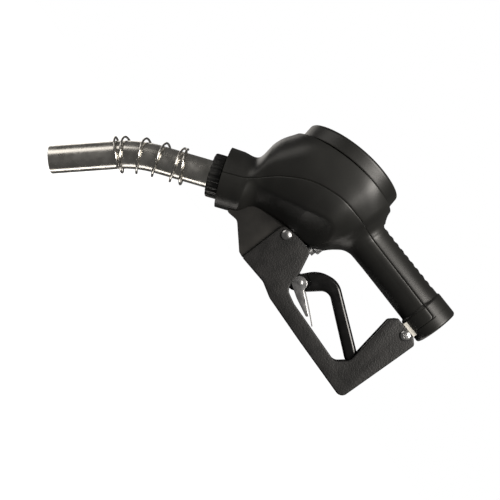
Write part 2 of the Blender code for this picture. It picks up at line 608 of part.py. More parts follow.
def guard():
    """The lever guard with the screws and the spacer that hold it."""
    channel_half = WEB_HALF_WIDTH + GAP
    body = new_object("lever_guard", prism(guard_outline(), GUARD_HALF_WIDTH), black_guard())
    bevel(body, 1.0, 1)
    boolean(body, new_object("guard_channel", prism(guard_channel(), channel_half)))
    for name, centre in (("guard_front_hole", GUARD_SCREW), ("guard_rear_hole", REAR_SCREW)):
        boolean(body, new_object(name, cross_bore(2.5, centre, 12)))
    reach = GUARD_HALF_WIDTH + GAP
    for name, side in (("guard_screw_near", -1), ("guard_screw_far", 1)):
        profile = [(2.2, -7.6), (2.2, 0.0), (4.5, 0.0), (4.5, 1.0), (3.6, 2.0), (1.6, 2.5)]
        head = turned(profile, (GUARD_SCREW[0], side * reach, GUARD_SCREW[1]), (0, side, 0), 20)
        new_object(name, head, bright_steel())
    profile = [(2.2, -22.6), (2.2, 0.0), (4.2, 0.0), (4.2, 1.2), (3.2, 2.2)]
    screw = turned(profile, (REAR_SCREW[0], -reach, REAR_SCREW[1]), (0, -1, 0), 20)
    new_object("guard_rear_screw", screw, bright_steel())
    nut = washer(4.2, 2.5, (REAR_SCREW[0], reach, REAR_SCREW[1]), (0, 1, 0), 2.4, 6)
    new_object("guard_rear_nut", nut, bright_steel())
    channel_block = rounded([(-19.0, -15.0, 0), (-19.0, -28.2, 2), (-6.9, -28.2, 2), (-6.9, -15.0, 0)])
    spacer = new_object("rear_spacer", prism(channel_block, 7.8), white_nylon())
    shoe = [(-20.0, -14.2), (-20.0, -19.6), (-6.9, -19.6), (-6.9, -14.2)]
    boolean(spacer, new_object("spacer_shoe", prism(shoe, SPACER_HALF_WIDTH)), "UNION")
    slot = [(-18.8, -10.0), (-18.8, -27.3), (-6.7, -27.3), (-6.7, -10.0)]
    boolean(spacer, new_object("spacer_slot", prism(slot, 4.3)))
    boolean(spacer, new_object("spacer_hole", cross_bore(2.5, REAR_SCREW, 12)))


def lever_outline():
    """The trigger, seen from the side, from its front eye round the bow to its free end."""
    x, z = PIVOT
    return rounded([(x - 5.6, z - 5.6, 5.4), (x - 5.6, z + 5.6, 5.4), (-112.0, -62.4, 3), (-104.2, -60.4, 3),
                    (-96.9, -46.2, 21), (-79.6, -39.0, 21), (-24.0, -64.0, 3), (-15.0, -67.0, 4),
                    (-15.5, -76.4, 4), (-27.0, -74.6, 3), (-78.5, -50.3, 8), (-91.2, -68.0, 4),
                    (-98.0, -74.0, 4), (-110.0, -77.6, 4)])


def moving_lever():
    """The lever, which turns on the plunger's eye, and the hold-open clip, which turns on the lever."""
    pivot = new_pivot("lever_axis", *PIVOT)
    lever = new_object("lever", prism(lever_outline(), LEVER_HALF_WIDTH), black_cast(), pivot)
    bevel(lever, 2.2, 2)
    x, z = PIVOT
    slot = rounded([(x - 9, z - 9, 0), (x + 8.6, z - 9, 2), (x + 8.6, z + 14, 0), (x - 9, z + 14, 0)])
    boolean(lever, new_object("lever_slot", prism(slot, 2.8), None, pivot))
    boolean(lever, new_object("lever_pin_hole", cross_bore(2.3, PIVOT), None, pivot))
    boolean(lever, new_object("clip_rivet_hole", cross_bore(2.1, CLIP_PIVOT), None, pivot))
    new_object("lever_pin", cylinder(2.0, (x, -7.6, z), (0, 1, 0), 15.2, 16), bright_steel(), pivot)

    clip_pivot = new_pivot("clip_axis", *CLIP_PIVOT)
    plate = rounded([(-104.2, -70.6, 5.3), (-104.2, -59.8, 5.3), (-93.4, -59.8, 5.3), (-92.2, -68.5, 5),
                     (-72.4, -76.4, 1), (-73.4, -78.6, 1), (-92.0, -71.5, 5)])
    clip = new_object("hold_open_clip", prism(plate, CLIP_HALF_WIDTH), bright_steel(), clip_pivot)
    inside = [(-120.0, -90.0), (-120.0, -40.0), (-81.5, -40.0), (-81.5, -90.0)]
    clip_inside = prism(inside, CLIP_HALF_WIDTH - CLIP_WALL)
    boolean(clip, new_object("clip_inside", clip_inside, None, clip_pivot))
    boolean(clip, new_object("clip_hole", cross_bore(2.1, CLIP_PIVOT), None, clip_pivot))
    leg_y = 0.5 - CLIP_HALF_WIDTH
    leg = [(-90.5, leg_y, -66.2), (-81.5, leg_y, -70.75), (-72.5, leg_y, -75.3), (-64.5, leg_y, -79.4)]
    new_object("clip_spring", swept(leg, 0.45, 6), bright_steel(), clip_pivot)
    rivet = cylinder(1.8, (CLIP_PIVOT[0], -7.8, CLIP_PIVOT[1]), (0, 1, 0), 15.6, 16)
    new_object("clip_rivet", rivet, bright_steel(), pivot)


clear_scene()
valve_body()
covers()
top_cap()
spout()
check_valve()
main_valve()
shut_off()
guard()
moving_lever()
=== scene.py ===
# Fuel nozzle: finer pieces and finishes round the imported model's frame.
# The frame's origin is the centre of the hose end, +X runs out of it, +Z is up, and Y = 0 is the
# plane of symmetry. Shapes are worked out in millimetres and turned to metres in newPiece.
import math
import bmesh
import bpy
import numpy as np
from mathutils import Matrix


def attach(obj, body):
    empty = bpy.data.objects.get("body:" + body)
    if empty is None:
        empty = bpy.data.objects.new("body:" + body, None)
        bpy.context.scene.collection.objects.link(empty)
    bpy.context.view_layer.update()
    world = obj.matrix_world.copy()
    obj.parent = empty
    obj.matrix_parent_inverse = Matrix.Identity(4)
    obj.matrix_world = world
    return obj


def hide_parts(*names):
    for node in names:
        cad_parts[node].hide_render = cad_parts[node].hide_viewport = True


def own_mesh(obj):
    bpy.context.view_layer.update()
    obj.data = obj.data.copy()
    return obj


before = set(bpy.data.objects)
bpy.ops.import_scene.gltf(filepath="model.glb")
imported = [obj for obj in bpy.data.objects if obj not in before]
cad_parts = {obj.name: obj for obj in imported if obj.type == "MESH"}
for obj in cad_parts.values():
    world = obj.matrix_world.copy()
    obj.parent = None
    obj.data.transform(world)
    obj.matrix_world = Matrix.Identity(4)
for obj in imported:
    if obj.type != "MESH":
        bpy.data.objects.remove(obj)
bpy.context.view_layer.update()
mm = 0.001
print("stage: frame loaded,", len(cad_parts), "nodes")


def toLinear(hexColour):
    # sRGB: c/12.92 below 0.04045, else ((c + 0.055)/1.055)^2.4
    c = np.array([int(hexColour[k:k + 2], 16) for k in (1, 3, 5)]) / 255
    return (*np.where(c <= 0.04045, c / 12.92, ((c + 0.055) / 1.055) ** 2.4), 1.0)


def addNode(tree, kind, values=None, links=None, **settings):
    # a node with its settings, its sockets' values and the sockets that feed it
    node = tree.nodes.new(kind)
    for key, value in settings.items():
        setattr(node, key, value)
    for socket, value in (values or {}).items():
        node.inputs[socket].default_value = value
    for socket, source in (links or {}).items():
        tree.links.new(source, node.inputs[socket])
    return node


def newFinish(name, colours, roughness, cloud, reliefs, metallic=0.0, ior=1.5, uvMap=None):
    # Cloudy noise, cloud millimetres across, spreads the two colours and the two roughnesses over the
    # surface. Each relief is (pattern, size, depth, stretch), in millimetres, and lies on the one before.
    made = bpy.data.materials.new(name)
    made.use_nodes = True
    tree = made.node_tree
    shader = tree.nodes["Principled BSDF"]
    shader.inputs["Metallic"].default_value = metallic
    if not metallic:
        shader.inputs["IOR"].default_value = ior
    place = (addNode(tree, "ShaderNodeUVMap", uv_map=uvMap).outputs["UV"] if uvMap
             else addNode(tree, "ShaderNodeTexCoord").outputs["Object"])

    clouds = addNode(tree, "ShaderNodeTexNoise", {"Scale": 1 / (cloud * mm), "Detail": 3.0},
                     {"Vector": place})
    ramp = addNode(tree, "ShaderNodeValToRGB", links={"Fac": clouds.outputs["Fac"]})
    for element, colour, position in zip(ramp.color_ramp.elements, colours, (0.3, 0.7)):
        element.color, element.position = toLinear(colour), position
    span = addNode(tree, "ShaderNodeMapRange", {"From Min": 0.3, "From Max": 0.7, "To Min": roughness[0],
                                                "To Max": roughness[1]}, {"Value": clouds.outputs["Fac"]})
    tree.links.new(ramp.outputs["Color"], shader.inputs["Base Color"])
    tree.links.new(span.outputs["Result"], shader.inputs["Roughness"])

    onTop = {}
    for pattern, size, depth, stretch in reliefs:
        spot = addNode(tree, "ShaderNodeMapping", {"Scale": (stretch, 1.0, 1.0)},
                       {"Vector": place}).outputs["Vector"]
        if pattern == "pebbles":
            height = addNode(tree, "ShaderNodeTexVoronoi", {"Scale": 1 / (size * mm), "Smoothness": 0.6},
                             {"Vector": spot}, feature="SMOOTH_F1").outputs["Distance"]
        else:
            height = addNode(tree, "ShaderNodeTexNoise", {"Scale": 1 / (size * mm)},
                             {"Vector": spot}).outputs["Fac"]
        bump = addNode(tree, "ShaderNodeBump", {"Distance": depth * mm, "Strength": 1.0},
                       {"Height": height, **onTop})
        onTop = {"Normal": bump.outputs["Normal"]}
    tree.links.new(onTop["Normal"], shader.inputs["Normal"])
    return made


finishes = {
    # Flexible PVC slid over the casting, injection moulded: satin, with a fine spark-eroded grain (drawn
    # 0.7 mm wide so that it shows) and palm-polished patches that are a little glossier.
    "vinyl": newFinish("satinVinyl", ("#1a1a19", "#20201e"), (0.36, 0.46), 34,
                       [("noise", 6, 0.03, 1), ("noise", 0.7, 0.008, 1)], ior=1.52),
    # Glass-filled nylon out of an etched mould: rounded pebbles 1.1 mm across, dull between them.
    "guard": newFinish("pebbledNylon", ("#131313", "#1c1b1b"), (0.46, 0.56), 9,
                       [("noise", 2.6, 0.06, 1), ("pebbles", 1.1, 0.13, 1)], ior=1.5),
    # the same nylon out of a plain ribbed mould
    "nut": newFinish("ribbedNylon", ("#191919", "#222221"), (0.4, 0.5), 2.5,
                     [("noise", 2.5, 0.02, 1)], ior=1.53),
    # Die-cast aluminium under black powder paint: low gloss, a slow ripple and a warm cast where it thins.
    "casting": newFinish("paintedCasting", ("#1d1c1b", "#272522"), (0.4, 0.54), 18,
                         [("noise", 3.5, 0.035, 1), ("noise", 0.8, 0.01, 1)]),
    # Die-cast lever under black enamel, rubbed glossy by the hand: dark, with a soft wet highlight.
    "lever": newFinish("blackEnamel", ("#0a0a0a", "#101010"), (0.18, 0.28), 8, [("noise", 4, 0.03, 1)]),
    # Drawn stainless tube, polished along its length: mirror bands broken up by lengthwise scratches. Its
    # own map runs in metres, u along the tube and v round it.
    "tube": newFinish("polishedTube", ("#c9c6c0", "#e6e4df"), (0.2, 0.34), 12,
                      [("noise", 9, 0.03, 1), ("noise", 0.5, 0.006, 0.06)], 1.0, uvMap="alongTube"),
    # Pressed and turned steel with bright zinc plating: near-white metal, faintly cloudy.
    "zinc": newFinish("zincPlatedSteel", ("#b9b9ba", "#d9d9da"), (0.24, 0.34), 5.0,
                      [("noise", 4.0, 0.004, 1)], 1.0),
    # Hard-drawn spring wire: bright, with faint drawing marks.
    "wire": newFinish("springWire", ("#bdbab4", "#e4e2de"), (0.14, 0.26), 3.0,
                      [("noise", 3.0, 0.01, 1)], 1.0),
    # The clip's thin wire has weathered: grey, with the shine rubbed off.
    "dullWire": newFinish("weatheredWire", ("#5f5e5b", "#7d7b78"), (0.35, 0.5), 3.0,
                          [("noise", 3.0, 0.01, 1)], 1.0),
    # Turned aluminium and brass: satin, with the faint marks of the tool.
    "aluminium": newFinish("turnedAluminium", ("#b4b5b6", "#cfd0d1"), (0.28, 0.42), 1.5,
                           [("noise", 1.5, 0.01, 1)], 1.0),
    "brass": newFinish("turnedBrass", ("#b08a45", "#c9a562"), (0.22, 0.38), 1.5,
                       [("noise", 1.5, 0.01, 1)], 1.0),
    # Moulded nitrile rubber: black and dull. Natural nylon: milky, with a soft gloss.
    "rubber": newFinish("nitrileRubber", ("#151515", "#1d1d1c"), (0.65, 0.8), 1.5, [("noise", 1.5, 0.02, 1)]),
    "spacer": newFinish("naturalNylon", ("#cbc8bf", "#dedbd3"), (0.4, 0.55), 3.0,
                        [("noise", 3.0, 0.02, 1)], ior=1.53),
}
print("stage: finishes made")


def gridFaces(rows, columns, wrapRows=False, wrapColumns=False, first=0):
    # the quads of a rows by columns grid of points, numbered row by row from first
    r, c = np.meshgrid(np.arange(rows - (not wrapRows)), np.arange(columns - (not wrapColumns)),
                       indexing="ij")
    nextRow, nextColumn = (r + 1) % rows, (c + 1) % columns
    corners = [r * columns + c, r * columns + nextColumn,
               nextRow * columns + nextColumn, nextRow * columns + c]
    return (first + np.stack(corners, -1)).reshape(-1, 4)


def newPiece(name, points, quads, finish, ends=(), crease=35):
    # points in millimetres; ends are rings of point numbers to fill. The object stays at the origin.
    mesh = bpy.data.meshes.new(name)
    caps = [list(map(int, ring)) for ring in ends]
    mesh.from_pydata(np.asarray(points).reshape(-1, 3) * mm, [], quads.tolist() + caps)
    closed = bmesh.new()
    closed.from_mesh(mesh)
    bmesh.ops.remove_doubles(closed, verts=closed.verts, dist=1e-7)
    bmesh.ops.recalc_face_normals(closed, faces=closed.faces)
    closed.to_mesh(mesh)
    closed.free()
    mesh.shade_smooth()
    mesh.set_sharp_from_angle(angle=math.radians(crease))
    piece = bpy.data.objects.new(name, mesh)
    bpy.context.scene.collection.objects.link(piece)
    mesh.materials.append(finish)
    return piece


def cut(piece, *cutters):
    # takes the cutters out of the piece, and keeps its own edges smooth
    for cutter in cutters:
        modifier = piece.modifiers.new("cut", "BOOLEAN")
        modifier.object, modifier.operation, modifier.solver = cutter, "DIFFERENCE", "MANIFOLD"
        result = bpy.data.meshes.new_from_object(piece.evaluated_get(bpy.context.evaluated_depsgraph_get()))
        piece.modifiers.clear()
        old, piece.data = piece.data, result
        result.name = piece.name
        bpy.data.meshes.remove(old)
        bpy.data.objects.remove(cutter)
    piece.data.shade_smooth()
    piece.data.set_sharp_from_angle(angle=math.radians(35))
    return piece


def place(piece, body, slotName, *nodes):
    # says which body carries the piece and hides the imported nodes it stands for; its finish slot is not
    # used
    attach(piece, body)
    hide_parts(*nodes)
    return piece


def roundCorners(corners, spacing=0.8, closed=True):
    # an outline through (x, z, radius) corners: each corner becomes an arc that touches both of its
    # sides, and the whole is then spread into points about this far apart
    flat = np.array(corners, float)
    line = []
    for k, (x, z, radius) in enumerate(flat):
        corner = flat[k, :2]
        if radius == 0 or (not closed and k in (0, len(flat) - 1)):
            line.append(corner[None])
            continue
        before, after = flat[k - 1, :2] - corner, flat[(k + 1) % len(flat), :2] - corner
        before, after = before / np.linalg.norm(before), after / np.linalg.norm(after)
        half = math.acos(np.clip(before @ after, -1, 1)) / 2
        middle = (before + after) / np.linalg.norm(before + after)
        centre = corner + middle * radius / math.sin(half)
        start, turn = corner + before * radius / math.tan(half) - centre, math.pi - 2 * half
        side = 1 if before[0] * after[1] - before[1] * after[0] < 0 else -1
        angle = side * np.linspace(0, turn, max(3, math.ceil(turn / math.radians(5))))
        line.append(centre + np.stack([start[0] * np.cos(angle) - start[1] * np.sin(angle),
                                       start[0] * np.sin(angle) + start[1] * np.cos(angle)], -1))
    line = np.vstack(line)
    if closed:
        line = np.vstack([line, line[:1]])
    run = np.concatenate([[0], np.cumsum(np.linalg.norm(np.diff(line, axis=0), axis=1))])
    keep = np.concatenate([[True], np.diff(run) > 1e-6])
    at = np.linspace(0, run[-1], max(8, int(run[-1] / spacing)) + 1)
    even = np.stack([np.interp(at, run[keep], line[keep, k]) for k in (0, 1)], -1)
    return even[:-1] if closed else even


def roundedPlate(name, outline, halfWidth, edge, finish, centreY=0.0, steps=6):
    # an outline carried along Y; near each flat side it moves in by edge (1 - sin a) while Y moves
    # out by edge (1 - cos a), which is a quarter round of that radius
    ahead, behind = np.roll(outline, -1, 0), np.roll(outline, 1, 0)
    along = (ahead - behind) / np.linalg.norm(ahead - behind, axis=1)[:, None]
    turn = np.sign((outline[:, 0] * ahead[:, 1] - ahead[:, 0] * outline[:, 1]).sum())
    inward = turn * np.stack([-along[:, 1], along[:, 0]], -1)
    a = np.linspace(0, math.pi / 2, steps)
    inset = np.concatenate([edge * (1 - np.sin(a)), edge * (1 - np.sin(a[::-1]))])
    across = np.concatenate([-halfWidth + edge * (1 - np.cos(a)), halfWidth - edge * (1 - np.cos(a[::-1]))])
    flat = outline[None] + inward[None] * inset[:, None, None]
    y = np.broadcast_to(centreY + across[:, None], flat.shape[:2])
    points = np.stack([flat[..., 0], y, flat[..., 1]], -1)
    rows, columns = points.shape[:2]
    rings = [np.arange(columns), (rows - 1) * columns + np.arange(columns)]
    return newPiece(name, points, gridFaces(rows, columns, wrapColumns=True), finish, rings)


def cutterBlock(outline, halfWidth, centreY=0.0):
    # an outline of (x, z) points carried straight along Y
    points = [[(x, centreY + y, z) for x, z in outline] for y in (-halfWidth, halfWidth)]
    count = len(outline)
    return newPiece("cutter", points, gridFaces(2, count, wrapColumns=True), finishes["zinc"],
                    [np.arange(count), count + np.arange(count)])


def squareTo(direction):
    # a unit direction and two unit vectors square to it and to each other
    along = np.array(direction, float) / np.linalg.norm(direction)
    upright = np.array((0.0, 0.0, 1.0) if abs(along[1]) > 0.9 else (0.0, 1.0, 0.0))
    return along, np.cross(upright, along), upright


def turnedPiece(name, profile, base, direction, finish, sides=72, hollow=False, lobes=None):
    # a (radius, distance) profile turned about a line: base + distance along + radius (cos, sin)
    along, across, upright = squareTo(direction)
    radius, distance = np.array(profile, float).T
    angle = np.arange(sides) * 2 * math.pi / sides
    reach = radius[:, None] * (lobes(angle, distance[:, None]) if lobes else np.ones(sides))
    points = (np.array(base, float) + distance[:, None, None] * along
              + reach[..., None] * (np.cos(angle)[:, None] * across + np.sin(angle)[:, None] * upright))
    rows = len(profile)
    rings = [] if hollow else [np.arange(sides), (rows - 1) * sides + np.arange(sides)]
    return newPiece(name, points, gridFaces(rows, sides, hollow, True), finish, rings)


def wirePiece(name, path, radius, finish, sides=12):
    # a circle carried along a path, turned as little as it can be, with domed ends
    path = np.array(path, float)
    tangent = np.gradient(path, axis=0)
    tangent /= np.linalg.norm(tangent, axis=1)[:, None]
    across = np.cross(tangent, (0.0, 1.0, 0.0))
    weak = np.linalg.norm(across, axis=1) < 0.3
    across[weak] = np.cross(tangent[weak], (1.0, 0.0, 0.3))
    frames = [across[0] / np.linalg.norm(across[0])]
    for t in tangent[1:]:
        step = frames[-1] - t * (frames[-1] @ t)
        frames.append(step / np.linalg.norm(step))
    across = np.array(frames)
    other = np.cross(tangent, across)
    dome = np.radians([10, 35, 60, 80])
    centres = np.vstack([path[0] - tangent[0] * radius * np.cos(dome)[:, None], path,
                         path[-1] + tangent[-1] * radius * np.cos(dome[::-1])[:, None]])
    width = radius * np.concatenate([np.sin(dome), np.ones(len(path)), np.sin(dome[::-1])])
    pick = np.clip(np.arange(len(centres)) - len(dome), 0, len(path) - 1)
    angle = np.arange(sides) * 2 * math.pi / sides
    points = centres[:, None] + width[:, None, None] * (np.cos(angle)[:, None] * across[pick][:, None]
                                                        + np.sin(angle)[:, None] * other[pick][:, None])
    last = (len(centres) - 1) * sides
    return newPiece(name, points, gridFaces(len(centres), sides, False, True), finish,
                    [np.arange(sides), last + np.arange(sides)])


bodyShape = {
    # each section: top x, top z, bottom x, bottom z, half width, level of the widest point, the
    # powers of its upper and lower halves, and how much the belly's facet flattens it
    "sections": [
        (-222.4, -39.6, -192.8, -82.2, 25.0, 0.50, 2.0, 2.0, 0.0),
        (-213.5, -34.0, -184.3, -76.1, 25.2, 0.50, 2.0, 2.0, 0.0),
        (-201.9, -26.8, -177.0, -70.5, 26.0, 0.50, 2.0, 2.0, 0.0),
        (-203.0, -9.0, -170.5, -58.0, 29.0, 0.55, 2.0, 2.0, 0.5),
        (-199.6, 5.0, -160.0, -51.5, 33.5, 0.60, 2.0, 2.5, 1.0),
        (-188.0, 26.0, -146.0, -46.5, 39.0, 0.62, 2.3, 2.8, 1.0),
        (-160.0, 44.0, -132.0, -43.5, 42.3, 0.62, 2.8, 3.0, 1.0),
        (-128.0, 52.0, -120.0, -41.5, 42.0, 0.62, 2.6, 2.8, 1.0),
        (-104.5, 41.0, -110.0, -37.0, 33.5, 0.60, 2.1, 2.0, 0.7),
        (-97.0, 25.5, -103.5, -26.5, 25.5, 0.55, 2.0, 2.0, 0.1),
        (-91.0, 19.4, -95.0, -18.6, 19.6, 0.50, 2.1, 2.1, 0.0),
        (-80.0, 18.5, -80.0, -17.0, 17.5, 0.50, 2.1, 2.1, 0.0),
        (-24.0, 18.5, -24.0, -17.0, 17.5, 0.50, 2.1, 2.1, 0.0),
        (-0.5, 18.5, -0.5, -17.0, 17.5, 0.50, 2.1, 2.1, 0.0)],
    "rowsPerStretch": [12, 16, 26, 20, 30, 36, 36, 28, 18, 10, 14, 150, 48],
    "seam": [(-230.5, -76.6, 0), (-206.3, -58.3, 30), (-191.3, -47.0, 40), (-176.3, -26.4, 50),
             (-157.0, -7.9, 60), (-130.7, 1.6, 60), (-107.2, 3.3, 40), (-90.0, 2.9, 60), (-10.1, 2.0, 0)],
    "tongueEnd": -10.1, "tongueCorner": 3.0,
    "wall": 2.4, "lip": 0.8, "halfGap": 0.12, "proud": 0.3,
    "ringRadius": 19.3, "ringStart": -22.5, "ringRound": 2.0, "ringHeight": 0.45, "end": -0.5,
    "grooveCount": 10, "grooveFirst": -91.0, "grooveLast": -31.0, "grooveRadius": 2.6, "grooveCentre": 19.9,
    "grooveSoftness": 0.25,
    # the belly's flat facets: the crease's two ends, the half width on it, and how deep the facet runs
    "creaseStart": (-185.7, -41.6), "creaseEnd": (-121.8, -19.0), "creaseSoftness": 0.8,
    "creaseX": [-204, -189, -175, -160, -140, -120, -108, -100],
    "creaseHalf": [26, 27.5, 31, 35, 37.5, 36, 33, 40], "facetDepth": [14, 15, 16.5, 18, 21, 25, 30, 60],
    "facetFoot": 8.4, "facetAbove": 12.0,
    # the slots in the lower cover for the casting's web and rear lug, and in the ring for the lug
    "webSlot": [(-190.5, -56.0), (-176.0, -42.0), (-150.0, -29.0), (-105.0, -29.0), (-105.0, -70.0),
                (-150.0, -100.0), (-181.5, -80.0)],
    "lugSlot": [(-20.3, -12.0), (-20.3, -30.0), (-6.6, -30.0), (-6.6, -12.0)],
    "ringSlot": [(-12.0, -10.0), (-12.0, -30.0), (-6.6, -30.0), (-6.6, -10.0)],
    "webHalf": 8.1, "lugHalf": 9.7, "ringWall": 4.0,
}
capShape = {
    "centre": (-147.8, 21.0), "tilt": math.radians(11.4), "halfLength": 46.6, "halfWidth": 41.5,
    "arch": 5.5, "side": 12.4, "crown": 2.2, "lift": 0.3, "outlinePower": 0.92,
}
capUp = np.array((-math.sin(capShape["tilt"]), math.cos(capShape["tilt"])))
capAlong = np.array((math.cos(capShape["tilt"]), math.sin(capShape["tilt"])))


def throughRows(rows, counts):
    # Catmull-Rom between rows b and c: 0.5 (2b + (c - a)t + (2a - 5b + 4c - d)t^2 + (3b - a - 3c + d)t^3)
    ends = np.vstack([2 * rows[0] - rows[1], rows, 2 * rows[-1] - rows[-2]])
    made = []
    for k, count in enumerate(counts):
        a, b, c, d = ends[k:k + 4]
        t = np.linspace(0, 1, count, endpoint=False)[:, None]
        made.append(0.5 * (2 * b + (c - a) * t + (2 * a - 5 * b + 4 * c - d) * t ** 2
                           + (3 * b - a - 3 * c + d) * t ** 3))
    return np.vstack([*made, rows[-1:]])


def softMin(a, b, softness):
    # the smaller of two lengths, rounded where they meet: (a + b - sqrt((a - b)^2 + softness^2)) / 2
    return 0.5 * (a + b - np.sqrt((a - b) ** 2 + softness ** 2))


def skinPoint(rows, angle, inset=0.0):
    # superellipse sections: y = half |cos|^(2/p), rise = reach |sin|^(2/p), each less the inset; then the
    # belly's facets limit y, the ring lifts the hose end, and the grooves clip the grip's back
    s = bodyShape
    topX, topZ, lowX, lowZ, half, waist, topPower, lowPower, facet = (rows[:, k, None] for k in range(9))
    height = np.hypot(topX - lowX, topZ - lowZ)
    upX, upZ = (topX - lowX) / height, (topZ - lowZ) / height
    c, n = np.cos(angle), np.sin(angle)
    power = np.where(n > 0, topPower, lowPower)
    reach = height * np.where(n > 0, 1 - waist, waist) - inset
    rise = reach * np.sign(n) * np.abs(n) ** (2 / power)
    y = (half - inset) * np.sign(c) * np.abs(c) ** (2 / power)
    x, z = lowX + (topX - lowX) * waist + upX * rise, lowZ + (topZ - lowZ) * waist + upZ * rise

    run = np.subtract(s["creaseEnd"], s["creaseStart"])
    run = run / np.linalg.norm(run)
    below = (x - s["creaseStart"][0]) * run[1] - (z - s["creaseStart"][1]) * run[0]
    creaseHalf = np.interp(x, s["creaseX"], s["creaseHalf"])
    depth = np.interp(x, s["creaseX"], s["facetDepth"])
    limit = creaseHalf - below / depth * (creaseHalf - s["facetFoot"]) - inset
    flattened = np.sign(y) * softMin(np.abs(y), np.maximum(limit, 0.5), s["creaseSoftness"])
    y = y + np.where(below > -s["facetAbove"], np.clip(facet, 0, 1) * (flattened - y), 0)

    middle = s["ringHeight"]
    fromStart = np.clip(x - s["ringStart"], 0, s["ringRound"])
    fromEnd = np.clip(s["end"] - x, 0, s["ringRound"])
    toCentre = s["ringRound"] - np.minimum(fromStart, fromEnd)
    shoulder = np.sqrt(np.maximum(s["ringRound"] ** 2 - toCentre ** 2, 0))
    ring = np.where(x > s["ringStart"], s["ringRadius"] - s["ringRound"] + shoulder - inset, 0)
    scale = np.maximum(1, ring / np.maximum(np.hypot(y, z - middle), 1e-6))
    scale = np.where(x > s["ringStart"], scale, 1)
    y, z = y * scale, middle + (z - middle) * scale

    pitch = (s["grooveLast"] - s["grooveFirst"]) / (s["grooveCount"] - 1)
    number = np.clip(np.round((x - s["grooveFirst"]) / pitch), 0, s["grooveCount"] - 1)
    nearest = s["grooveFirst"] + pitch * number
    sag = np.sqrt(np.maximum(s["grooveRadius"] ** 2 - (x - nearest) ** 2, 0))
    floor = np.where(sag > 0, s["grooveCentre"] - sag - inset, 1e3)
    z = np.where(floor < 100, softMin(z, floor, s["grooveSoftness"]), z)
    return np.stack([x, y, z], -1)


def firstAngle(rows, isPast, start, end):
    # for each section, the angle between start and end at which isPast turns positive, found between
    # the two steps on either side of it by a straight line
    steps = np.linspace(start, end, 400)
    value = isPast(skinPoint(rows, np.broadcast_to(steps, (len(rows), len(steps)))))
    past = value > 0
    k = np.clip(past.argmax(1), 1, None)
    row = np.arange(len(rows))
    before, after = value[row, k - 1], value[row, k]
    found = steps[k - 1] + (steps[k] - steps[k - 1]) * before / np.where(before == after, 1, before - after)
    return np.where(past.any(1), np.where(past[:, 0], start, found), end)


seamLine = roundCorners(bodyShape["seam"], closed=False)


def overSeam(p):
    # height over the seam line, which falls by a quarter round at the tongue's corner
    corner, end = bodyShape["tongueCorner"], bodyShape["tongueEnd"]
    drop = corner - np.sqrt(np.maximum(corner ** 2 - np.clip(p[..., 0] - end + corner, 0, corner) ** 2, 0))
    return p[..., 2] - np.interp(p[..., 0], seamLine[:, 0], seamLine[:, 1]) + drop


def overCapBase(p):
    # height over the cap's arched base, whose arch stops falling a little past the cap's ends
    offset = p[..., [0, 2]] - np.array(capShape["centre"])
    share = np.minimum((offset @ capAlong / capShape["halfLength"]) ** 2, 1.6)
    return offset @ capUp - capShape["arch"] * (1 - share) + capShape["lift"]


def edgeInset(points, lip):
    # how far a border is drawn in, as a quarter round over its first millimetres on the surface
    steps = np.linalg.norm(np.diff(points, axis=1), axis=2)
    run = np.concatenate([np.zeros((len(points), 1)), np.cumsum(steps, axis=1)], 1)
    left = np.clip(np.minimum(run, run[:, -1:] - run), 0, lip)
    return lip - np.sqrt(lip ** 2 - (lip - left) ** 2)


def shell(name, outer, inner, finish):
    # two matching grids joined round their four borders, which makes one closed wall
    rows, columns = outer.shape[:2]
    outside, inside = gridFaces(rows, columns), gridFaces(rows, columns, first=rows * columns)[:, ::-1]
    number = np.arange(rows * columns).reshape(rows, columns)
    border = np.concatenate([number[0], number[1:, -1], number[-1, -2::-1], number[-2:0:-1, 0]])
    after = np.roll(border, -1)
    rim = np.stack([border, border + rows * columns, after + rows * columns, after], -1)
    return newPiece(name, np.concatenate([outer.reshape(-1, 3), inner.reshape(-1, 3)]),
                    np.concatenate([outside, inside, rim]), finish)


# a cover's columns, closer together near its borders, where the lip turns in
spread = np.concatenate([[0, 0.0012, 0.0028, 0.005, 0.008, 0.012], np.linspace(0.018, 0.982, 44),
                         [0.988, 0.992, 0.995, 0.9972, 0.9988, 1]])
sections = throughRows(np.array(bodyShape["sections"]), bodyShape["rowsPerStretch"])
seamAngle = firstAngle(sections, overSeam, -math.pi / 2, math.pi / 2)
beforeTongueEnd = sections[:, 2] <= bodyShape["tongueEnd"]


def upperCover():
    # columns run up the far side from the seam to the cap's rim, or to the top, then down the near side;
    # where the cap covers the body, a lid under it joins the two rims
    rows, low = sections[beforeTongueEnd], seamAngle[beforeTongueEnd]
    rim = firstAngle(rows, overCapBase, -math.pi / 3, math.pi / 2)
    angle = low[:, None] + (rim - low)[:, None] * spread
    plain = skinPoint(rows, angle)
    wholeTop = (rim >= math.pi / 2 - 1e-9)[:, None]
    inset = edgeInset(plain, bodyShape["lip"])
    inset = np.where(wholeTop & (spread > 0.5), 0, inset) + bodyShape["halfGap"] * (1 - spread) ** 40
    outer = skinPoint(rows, angle, inset)
    inner = skinPoint(rows, angle, bodyShape["wall"])
    base = np.stack([outer, inner])
    over = np.maximum(overCapBase(base), 0)
    base[..., 0] -= over * capUp[0]
    base[..., 2] -= over * capUp[1]
    outer, inner = base
    mirror = np.array((1, -1, 1))
    outer = np.concatenate([outer, outer[:, ::-1] * mirror], 1)
    inner = np.concatenate([inner, inner[:, ::-1] * mirror], 1)
    piece = shell("upperCover", outer, inner, finishes["vinyl"])
    return place(piece, "nozzle", "black_vinyl", "upper_cover")


